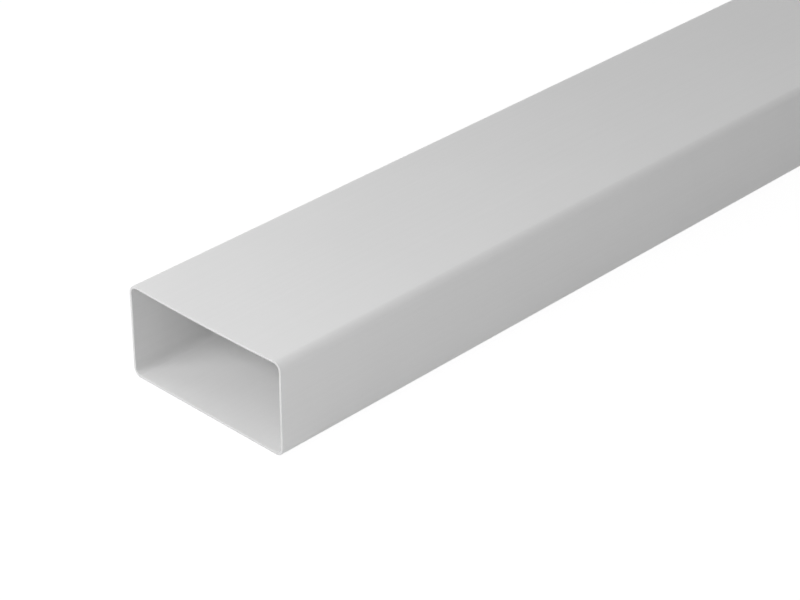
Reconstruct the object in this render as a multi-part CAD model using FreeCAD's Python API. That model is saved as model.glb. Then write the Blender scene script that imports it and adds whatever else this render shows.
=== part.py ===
# Flat channel duct: one length of extruded rigid PVC, a thin-walled rectangular tube that carries
# ventilation air. Millimetres, +Z up. The duct lies on a wide wall with its length along Y, and the
# origin is the middle of its underside.

import FreeCAD
import Part
import math
import os

# Driving dimensions of the section, outside
WIDTH = 110.0
HEIGHT = 54.0
CORNER_RADIUS = 5.0
WALL = 1.4

# How far the wide upper wall dishes at the middle of its width, below its two corners
UPPER_WALL_SAG = 0.7

# The length as it is sold, and the deburred edge that both sawn ends have, inside and outside
LENGTH = 1000.0
EDGE_BREAK = 0.25

# Centres of the corner rounds, which the inside and outside corners share
CORNER_X = WIDTH / 2 - CORNER_RADIUS
LOWER_CORNER_Z = CORNER_RADIUS
UPPER_CORNER_Z = HEIGHT - CORNER_RADIUS

# The dished wall is an arc about a point far above the duct, tangent to both upper corner rounds
SAG_CENTRE_TO_CORNER = (CORNER_X**2 + UPPER_WALL_SAG**2) / (2 * UPPER_WALL_SAG)
SAG_RADIUS = SAG_CENTRE_TO_CORNER - CORNER_RADIUS
SAG_CENTRE_Z = HEIGHT - UPPER_WALL_SAG + SAG_RADIUS

# Where the corner rounds start and end, as angles from level. The upper rounds turn a little past
# upright, to the point where the dished wall is tangent to them.
DOWN = -math.pi / 2
LEVEL = 0.0
PAST_UPRIGHT = math.atan2(SAG_CENTRE_Z - UPPER_CORNER_Z, -CORNER_X)

NEAR_END_Y = -LENGTH / 2


def section_point(x, z):
    """A point of the section, in the plane of the near end."""
    return FreeCAD.Vector(x, NEAR_END_Y, z)


def corner_round(side, centre_z, radius, start, end):
    """The round of one corner, from one angle to another. side is 1 at +X and -1 at -X."""

    def point_at(angle):
        x = side * (CORNER_X + radius * math.cos(angle))
        return section_point(x, centre_z + radius * math.sin(angle))

    return Part.Arc(point_at(start), point_at((start + end) / 2), point_at(end))


def section_wire(inset):
    """The closed outline of the section, moved inwards by inset all round."""
    radius = CORNER_RADIUS - inset
    right_lower = corner_round(1, LOWER_CORNER_Z, radius, DOWN, LEVEL)
    right_upper = corner_round(1, UPPER_CORNER_Z, radius, LEVEL, PAST_UPRIGHT)
    left_upper = corner_round(-1, UPPER_CORNER_Z, radius, PAST_UPRIGHT, LEVEL)
    left_lower = corner_round(-1, LOWER_CORNER_Z, radius, LEVEL, DOWN)
    right_wall = Part.LineSegment(right_lower.EndPoint, right_upper.StartPoint)
    middle_of_upper_wall = section_point(0, HEIGHT - UPPER_WALL_SAG - inset)
    upper_wall = Part.Arc(right_upper.EndPoint, middle_of_upper_wall, left_upper.StartPoint)
    left_wall = Part.LineSegment(left_upper.EndPoint, left_lower.StartPoint)
    lower_wall = Part.LineSegment(left_lower.EndPoint, right_lower.StartPoint)
    outline = (
        right_lower, right_wall, right_upper, upper_wall,
        left_upper, left_wall, left_lower, lower_wall,
    )
    return Part.Wire([curve.toShape() for curve in outline])


def extruded_channel():
    """The tube as it leaves the die: the wall between the two outlines, drawn out along Y."""
    outside = Part.Face(section_wire(0))
    inside = Part.Face(section_wire(WALL))
    return outside.cut(inside).extrude(FreeCAD.Vector(0, LENGTH, 0))


def deburr_ends(channel):
    """Breaks the sharp edges that the saw leaves round both ends, inside and outside."""
    end_edges = [edge for edge in channel.Edges if edge.BoundBox.YLength < EDGE_BREAK]
    return channel.makeChamfer(EDGE_BREAK, end_edges)


def main():
    duct = deburr_ends(extruded_channel())
    os.makedirs("parts", exist_ok=True)
    duct.exportStep("parts/flat_channel_duct.step")


main()
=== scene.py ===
import math
from collections import namedtuple

import bpy
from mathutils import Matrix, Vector


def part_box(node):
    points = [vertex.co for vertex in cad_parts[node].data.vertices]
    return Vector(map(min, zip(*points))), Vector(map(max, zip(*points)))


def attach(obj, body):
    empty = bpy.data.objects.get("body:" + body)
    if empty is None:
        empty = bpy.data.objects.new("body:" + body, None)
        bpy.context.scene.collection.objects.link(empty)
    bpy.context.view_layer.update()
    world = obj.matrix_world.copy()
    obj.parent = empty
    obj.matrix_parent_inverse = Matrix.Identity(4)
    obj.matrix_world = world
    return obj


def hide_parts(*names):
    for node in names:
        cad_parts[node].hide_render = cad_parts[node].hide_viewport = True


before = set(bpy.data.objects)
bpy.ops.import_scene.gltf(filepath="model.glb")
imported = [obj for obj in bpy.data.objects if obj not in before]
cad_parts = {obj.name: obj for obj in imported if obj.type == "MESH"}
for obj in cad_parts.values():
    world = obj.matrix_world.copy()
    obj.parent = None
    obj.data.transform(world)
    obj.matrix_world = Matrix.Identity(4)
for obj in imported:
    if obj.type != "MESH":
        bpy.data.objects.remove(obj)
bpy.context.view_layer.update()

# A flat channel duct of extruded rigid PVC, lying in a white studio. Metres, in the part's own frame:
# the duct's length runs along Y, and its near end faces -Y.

# The section and the sawn ends, as the duct is made. The outside sizes come from the frame.
NODE = "flat_channel_duct"
LOW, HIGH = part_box(NODE)
WIDTH, LENGTH, HEIGHT = HIGH - LOW
CORNER_RADIUS = 0.005
WALL = 0.0014
UPPER_WALL_SAG = 0.0007
EDGE_BREAK = 0.00025
NEAR_END = LOW.y
FAR_END = HIGH.y

# How finely the mesh follows the section, the length and the broken edges
FLAT_STEP = 0.008
LENGTH_STEP = 0.025
CORNER_STEPS = 16
EDGE_STEPS = 4

# The share of the texture map's height that each sawn end takes
END_SHARE = 0.04

# The plastic, and the skin that the die and the sizing bath leave on it: lines drawn along the length,
# a slight orange peel, and slow clouds in the tone
PVC_GREY = 0.8
PVC_IOR = 1.53
SKIN_ROUGHNESS = (0.38, 0.46)
SKIN_TONE = 0.018
DIE_LINE_WIDTH = 0.0016
DIE_LINE_STRETCH = 250
DIE_LINE_DEPTH = 0.00001
DIE_LINE_DETAIL = 4.0
DIE_LINE_ROUGHNESS = 0.65
PEEL_WIDTH = 0.006
PEEL_DEPTH = 0.000025
CLOUD_WIDTH = 0.09
CLOUD_DETAIL = 3.0

# The sawn ends: arcs about the saw's axle, which ran above the duct, and the grain of the cut plastic
SAWN_ROUGHNESS = (0.55, 0.7)
# Sawn tone below the grey: a little for the matt cut, the rest painted shade on the lamp-facing ends
SAWN_TONE_AND_PAINTED_SHADE = (-0.115, -0.065)
SAW_AXLE_HEIGHT = 0.19
SAW_STROKE_WIDTH = 0.0007
SAW_STROKE_DEPTH = 0.00002
SAW_STROKE_WOBBLE = 2.0
SAW_STROKE_DETAIL = 3.0
GRAIN_WIDTH = 0.0004
GRAIN_DEPTH = 0.00001
GRAIN_DETAIL = 3.0

# The camera's aim is a point on the upper right corner of the duct, near the end that faces it
LENS_MM = 115.41
CAMERA_AZIMUTH = 44.1
CAMERA_ELEVATION = 30.65
CAMERA_DISTANCE = 1.2715
AIM_FROM_NEAR_END = 0.0828
AIM_FROM_RIGHT_WALL = 0.001

# Soft oval lamps, each with its width and height. Azimuth 0 is straight in front of the near end, and
# positive turns towards +X. At a strength of 1 a white surface that faces the lamp at its aim turns white.
Lamp = namedtuple("Lamp", "name aim_y azimuth elevation distance size strength")
LAMPS = (
    Lamp("key", NEAR_END, azimuth=-10, elevation=40, distance=1.0, size=(0.9, 0.35), strength=0.67),
    Lamp("left", NEAR_END, azimuth=-80, elevation=35, distance=0.9, size=(0.5, 0.5), strength=0.2),
    Lamp("right", NEAR_END, azimuth=45, elevation=30, distance=0.7, size=(0.4, 0.4), strength=0.11),
    Lamp("low", NEAR_END, azimuth=95, elevation=12, distance=0.9, size=(0.6, 0.3), strength=0.12),
    Lamp("back_left", FAR_END, azimuth=-150, elevation=35, distance=0.4, size=(0.3, 0.3), strength=0.35),
    Lamp("back_right", FAR_END, azimuth=150, elevation=35, distance=0.4, size=(0.3, 0.3), strength=0.35),
)
AIM_HEIGHT = HEIGHT / 2

# The even light from all round, and the floor: how pale it is to the light, and its glow and shadow
# where it is seen
WHITE = (1, 1, 1, 1)
AMBIENT = 0.278
FLOOR_PALE = 0.7
FLOOR_GLOW = 0.94
FLOOR_SHADOW = 0.12
FLOOR_SIZE = 40.0
FLOOR_GAP = 0.0002

# The phase, in radians, that the wave texture gives each unit of its vector
WAVE_PHASE = 20


def spread(start, end, steps):
    """Evenly spaced values from start up to, but not including, end."""
    return [start + (end - start) * i / steps for i in range(steps)]


def steps_for(length, step):
    return max(1, round(length / step))


def direction(azimuth, elevation):
    """The way to a lamp or camera from its aim. Azimuth 0 is towards -Y, and positive turns towards +X."""
    turn, rise = math.radians(azimuth), math.radians(elevation)
    level = math.cos(rise)
    return Vector((math.sin(turn) * level, -math.cos(turn) * level, math.sin(rise)))


# The duct's mesh

# A point of the section's outline, with the outward normal there
OutlinePoint = namedtuple("OutlinePoint", "x z normal_x normal_z")

# A step along the wall's long section: the depth below the outside, the place along Y, the normal's
# shares outwards and along Y, and whether the skin from here to the next step is sawn
WallStep = namedtuple("WallStep", "depth y outwards along sawn")


def arc_points(centre_x, centre_z, radius, angles, side=1):
    """Points on an arc of the section. side is -1 where the arc is hollow, seen from outside."""
    found = []
    for angle in angles:
        cos, sin = math.cos(angle), math.sin(angle)
        x, z = centre_x + radius * cos, centre_z + radius * sin
        found.append(OutlinePoint(x, z, side * cos, side * sin))
    return found


def right_half():
    """The right half of the outline, from the middle of the underside to the middle of the top."""
    corner_x = WIDTH / 2 - CORNER_RADIUS
    lower_z = CORNER_RADIUS
    upper_z = HEIGHT - CORNER_RADIUS
    # The dished upper wall is an arc about a point far above, tangent to the upper corner rounds
    sag_to_corner = (corner_x**2 + UPPER_WALL_SAG**2) / (2 * UPPER_WALL_SAG)
    sag_radius = sag_to_corner - CORNER_RADIUS
    sag_z = HEIGHT - UPPER_WALL_SAG + sag_radius
    past_upright = math.atan2(sag_z - upper_z, -corner_x)
    flat_steps = steps_for(corner_x, FLAT_STEP)
    side_steps = steps_for(upper_z - lower_z, FLAT_STEP)
    down, level = -math.pi / 2, 0.0
    lower_turn = spread(down, level, CORNER_STEPS)
    upper_turn = spread(level, past_upright, CORNER_STEPS)
    sag_turn = spread(past_upright - math.pi, down, flat_steps)
    lower_wall = [OutlinePoint(x, 0.0, 0.0, -1.0) for x in spread(0, corner_x, flat_steps)]
    lower_round = arc_points(corner_x, lower_z, CORNER_RADIUS, lower_turn)
    side_wall = [OutlinePoint(WIDTH / 2, z, 1.0, 0.0) for z in spread(lower_z, upper_z, side_steps)]
    upper_round = arc_points(corner_x, upper_z, CORNER_RADIUS, upper_turn)
    upper_wall = arc_points(0, sag_z, sag_radius, sag_turn, side=-1)
    top_middle = OutlinePoint(0.0, sag_z - sag_radius, 0.0, 1.0)
    return lower_wall + lower_round + side_wall + upper_round + upper_wall + [top_middle]


def section_outline():
    """The whole outside outline, round from the middle of the underside."""
    right = right_half()
    left = [OutlinePoint(-p.x, p.z, -p.normal_x, p.normal_z) for p in reversed(right[1:-1])]
    return right + left


def broken_edge(end, facing, inside):
    """The round between the wall's outside, or its inside, and a sawn end, from the wall to the end."""
    found = []
    for step in range(EDGE_STEPS + 1):
        angle = math.pi / 2 * step / EDGE_STEPS
        cos, sin = math.cos(angle), math.sin(angle)
        rise = EDGE_BREAK * (1 - cos)
        y = end - facing * EDGE_BREAK * (1 - sin)
        if inside:
            found.append(WallStep(WALL - rise, y, -cos, facing * sin, True))
        else:
            found.append(WallStep(rise, y, cos, facing * sin, True))
    return found


def wall_path():
    """The closed long section of the wall: out along the outside and back along the inside."""
    length_steps = steps_for(LENGTH, LENGTH_STEP)
    start, stop = NEAR_END + EDGE_BREAK, FAR_END - EDGE_BREAK
    outside = [WallStep(0.0, y, 1.0, 0.0, False) for y in spread(start, stop, length_steps)]
    far_end = broken_edge(FAR_END, 1, False) + broken_edge(FAR_END, 1, True)[::-1]
    inside = [WallStep(WALL, y, -1.0, 0.0, False) for y in spread(stop, start, length_steps)]
    near_end = broken_edge(NEAR_END, -1, True) + broken_edge(NEAR_END, -1, False)[::-1]
    # The last step of each end is the first of the wall that follows it
    return outside + far_end[:-1] + inside + near_end[:-1]


def duct_mesh():
    """The wall as one closed skin of quads: its long section carried round the outline of the section."""
    outline = section_outline()
    path = wall_path()
    columns, rows = len(outline), len(path)
    points, normals = [], []
    for step in path:
        for spot in outline:
            x, z = spot.x - step.depth * spot.normal_x, spot.z - step.depth * spot.normal_z
            points.append((x, step.y, z))
            normals.append((step.outwards * spot.normal_x, step.along, step.outwards * spot.normal_z))
    faces, finishes = [], []
    for row in range(rows):
        below, above = row * columns, (row + 1) % rows * columns
        for column in range(columns):
            after = (column + 1) % columns
            faces.append((below + column, above + column, above + after, below + after))
            finishes.append(int(path[row].sawn))
    mesh = bpy.data.meshes.new(NODE)
    mesh.from_pydata(points, [], faces)
    mesh.polygons.foreach_set("material_index", finishes)
    mesh.polygons.foreach_set("use_smooth", [True] * len(faces))
    mesh.normals_split_custom_set_from_vertices(normals)
    lay_out_map(mesh, outline, path)
    return mesh


def gaps_round(places):
    """The distances from each place to the next, and from the last back to the first."""
    return [(after - before).length for before, after in zip(places, places[1:] + places[:1])]


def running_shares(lengths):
    """The share of the whole that is behind at the start of each length, and at the end of the last."""
    total = sum(lengths)
    found = [0.0]
    for length in lengths:
        found.append(found[-1] + length / total)
    return found


def lay_out_map(mesh, outline, path):
    """A texture map that unrolls the skin: across it round the section, and up it along the wall's path."""
    around = running_shares(gaps_round([Vector((spot.x, spot.z)) for spot in outline]))
    lengths = gaps_round([Vector((step.depth, step.y)) for step in path])
    sawn = sum(length for length, step in zip(lengths, path) if step.sawn)
    drawn = sum(lengths) - sawn
    ends_share = 2 * END_SHARE
    widened = ends_share / (1 - ends_share) * drawn / sawn
    up = running_shares([length * (widened if step.sawn else 1) for length, step in zip(lengths, path)])
    corners = []
    for row in range(len(path)):
        for column in range(len(outline)):
            left, right = around[column], around[column + 1]
            corners += [left, up[row], left, up[row + 1], right, up[row + 1], right, up[row]]
    layer = mesh.uv_layers.new(name="OFBake")
    layer.uv.foreach_set("vector", corners)


# Materials

def new_material(name):
    material = bpy.data.materials.new(name)
    material.use_nodes = True
    return material, material.node_tree


def add(tree, kind, inputs=None, **settings):
    """A node with its settings, and its inputs set to values or linked to other nodes' outputs."""
    node = tree.nodes.new(kind)
    for name, value in settings.items():
        setattr(node, name, value)
    for name, value in (inputs or {}).items():
        if isinstance(value, bpy.types.NodeSocket):
            tree.links.new(value, node.inputs[name])
        else:
            node.inputs[name].default_value = value
    return node


def object_place(tree):
    return add(tree, "ShaderNodeTexCoord").outputs["Object"]


def noise(tree, place, width, detail=2.0, roughness=0.5):
    """Noise whose blots are about width metres across."""
    inputs = {"Vector": place, "Scale": 1 / width, "Detail": detail, "Roughness": roughness}
    return add(tree, "ShaderNodeTexNoise", inputs).outputs["Fac"]


def ranged(tree, value, low, high, start=0.3, end=0.7):
    """A texture's value, which mostly lies from start to end, carried to the range from low to high."""
    inputs = {"Value": value, "From Min": start, "From Max": end, "To Min": low, "To Max": high}
    return add(tree, "ShaderNodeMapRange", inputs).outputs["Result"]


def mean_of(tree, first, second):
    inputs = {"Factor": 0.5, "A": first, "B": second}
    return add(tree, "ShaderNodeMix", inputs).outputs["Result"]


def grey(tree, value):
    inputs = {"Red": value, "Green": value, "Blue": value}
    return add(tree, "ShaderNodeCombineColor", inputs).outputs["Color"]


def relief(tree, *layers):
    """The normal of a surface with several reliefs on it, each a height texture and its depth in metres."""
    normal = None
    for height, depth in layers:
        bump = add(tree, "ShaderNodeBump", {"Height": height, "Distance": depth})
        if normal:
            tree.links.new(normal, bump.inputs["Normal"])
        normal = bump.outputs["Normal"]
    return normal


def finish_pvc(tree, shade, roughness, normal):
    """Sets the plastic's shader from its grey, its roughness and its relief."""
    shader = tree.nodes["Principled BSDF"]
    shader.inputs["IOR"].default_value = PVC_IOR
    tree.links.new(grey(tree, shade), shader.inputs["Base Color"])
    tree.links.new(roughness, shader.inputs["Roughness"])
    tree.links.new(normal, shader.inputs["Normal"])


def extruded_pvc():
    """The drawn skin: satin, with faint lines along the length and a slight orange peel."""
    material, tree = new_material("extruded_pvc")
    place = object_place(tree)
    squeeze = (1, 1 / DIE_LINE_STRETCH, 1)
    drawn = add(tree, "ShaderNodeMapping", {"Vector": place, "Scale": squeeze}).outputs["Vector"]
    lines = noise(tree, drawn, DIE_LINE_WIDTH, DIE_LINE_DETAIL, DIE_LINE_ROUGHNESS)
    peel = noise(tree, place, PEEL_WIDTH)
    clouds = noise(tree, place, CLOUD_WIDTH, CLOUD_DETAIL)
    shade = ranged(tree, mean_of(tree, lines, clouds), PVC_GREY - SKIN_TONE, PVC_GREY + SKIN_TONE)
    roughness = ranged(tree, lines, *SKIN_ROUGHNESS)
    finish_pvc(tree, shade, roughness, relief(tree, (peel, PEEL_DEPTH), (lines, DIE_LINE_DEPTH)))
    return material


def sawn_pvc():
    """The cut ends: matt, a little duller for the cut and darker still as painted shade on these
    lamp-facing ends, with the fine arcs that the saw's teeth leave.
    """
    material, tree = new_material("sawn_pvc")
    place = object_place(tree)
    below_axle = add(tree, "ShaderNodeMapping", {"Vector": place, "Location": (0, 0, -SAW_AXLE_HEIGHT)})
    arcs = {
        "Vector": below_axle.outputs["Vector"],
        "Scale": math.tau / (WAVE_PHASE * SAW_STROKE_WIDTH),
        "Distortion": SAW_STROKE_WOBBLE,
        "Detail": SAW_STROKE_DETAIL,
    }
    strokes = add(tree, "ShaderNodeTexWave", arcs, wave_type="RINGS", rings_direction="Y").outputs["Fac"]
    grain = noise(tree, place, GRAIN_WIDTH, GRAIN_DETAIL)
    # The ends' grey: the sawn tone plus painted shade that holds the lamp-facing ends to the top's level
    darkest, palest = SAWN_TONE_AND_PAINTED_SHADE
    shade = ranged(tree, mean_of(tree, strokes, grain), PVC_GREY + darkest, PVC_GREY + palest)
    roughness = ranged(tree, strokes, *SAWN_ROUGHNESS, start=0.0, end=1.0)
    finish_pvc(tree, shade, roughness, relief(tree, (strokes, SAW_STROKE_DEPTH), (grain, GRAIN_DEPTH)))
    return material


# Studio

def seen(tree):
    """1 for a ray from the camera, a gloss or a clear surface, and 0 for light on its way to the object."""
    path = add(tree, "ShaderNodeLightPath").outputs
    found = path["Is Camera Ray"]
    for kind in ("Is Glossy Ray", "Is Transmission Ray"):
        found = add(tree, "ShaderNodeMath", {0: found, 1: path[kind]}, operation="MAXIMUM").outputs["Value"]
    return found


def diffuse(tree, value):
    return add(tree, "ShaderNodeBsdfDiffuse", {"Color": (value, value, value, 1)}).outputs["BSDF"]


def floor_material():
    """White with a faint shadow where it is seen, and a plain pale floor to the light."""
    material, tree = new_material("white_floor")
    tree.nodes.remove(tree.nodes["Principled BSDF"])
    glow = add(tree, "ShaderNodeEmission", {"Color": WHITE, "Strength": FLOOR_GLOW})
    white = add(tree, "ShaderNodeAddShader", {0: diffuse(tree, FLOOR_SHADOW), 1: glow.outputs["Emission"]})
    either = {0: seen(tree), 1: diffuse(tree, FLOOR_PALE), 2: white.outputs["Shader"]}
    mixed = add(tree, "ShaderNodeMixShader", either)
    tree.links.new(mixed.outputs["Shader"], tree.nodes["Material Output"].inputs["Surface"])
    return material


def white_floor():
    half = FLOOR_SIZE / 2
    mesh = bpy.data.meshes.new("floor")
    mesh.from_pydata(
        [(-half, -half, 0), (half, -half, 0), (half, half, 0), (-half, half, 0)], [], [(0, 1, 2, 3)]
    )
    mesh.materials.append(floor_material())
    floor = bpy.data.objects.new("floor", mesh)
    floor.location.z = LOW.z - FLOOR_GAP
    bpy.context.scene.collection.objects.link(floor)


def white_world():
    """White where it is seen, and a plain even light on the object."""
    world = bpy.data.worlds.new("studio")
    world.use_nodes = True
    tree = world.node_tree
    light = tree.nodes["Background"]
    light.inputs["Color"].default_value = WHITE
    light.inputs["Strength"].default_value = AMBIENT
    white = add(tree, "ShaderNodeBackground", {"Color": WHITE, "Strength": 1.0})
    either = {0: seen(tree), 1: light.outputs["Background"], 2: white.outputs["Background"]}
    mixed = add(tree, "ShaderNodeMixShader", either)
    tree.links.new(mixed.outputs["Shader"], tree.nodes["World Output"].inputs["Surface"])
    bpy.context.scene.world = world


def place_lamp(lamp):
    light = bpy.data.lights.new(lamp.name, "AREA")
    light.shape = "ELLIPSE"
    light.size, light.size_y = lamp.size
    light.energy = lamp.strength * (math.pi * lamp.distance) ** 2
    away = direction(lamp.azimuth, lamp.elevation)
    holder = bpy.data.objects.new(lamp.name, light)
    holder.location = Vector((0, lamp.aim_y, AIM_HEIGHT)) + away * lamp.distance
    holder.rotation_euler = away.to_track_quat("Z", "Y").to_euler()
    holder.visible_camera = False
    bpy.context.scene.collection.objects.link(holder)


def studio_camera():
    away = direction(CAMERA_AZIMUTH, CAMERA_ELEVATION)
    aim = Vector((HIGH.x - AIM_FROM_RIGHT_WALL, NEAR_END + AIM_FROM_NEAR_END, HIGH.z))
    data = bpy.data.cameras.new("camera")
    data.lens = LENS_MM
    camera = bpy.data.objects.new("camera", data)
    camera.location = aim + away * CAMERA_DISTANCE
    camera.rotation_euler = away.to_track_quat("Z", "Y").to_euler()
    bpy.context.scene.collection.objects.link(camera)
    bpy.context.scene.camera = camera


def build_duct():
    mesh = duct_mesh()
    mesh.materials.append(extruded_pvc())
    mesh.materials.append(sawn_pvc())
    duct = bpy.data.objects.new("duct", mesh)
    bpy.context.scene.collection.objects.link(duct)
    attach(duct, "root")
    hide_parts(NODE)


def main():
    bpy.context.scene.view_settings.view_transform = "Standard"
    build_duct()
    white_floor()
    white_world()
    for lamp in LAMPS:
        place_lamp(lamp)
    studio_camera()


main()
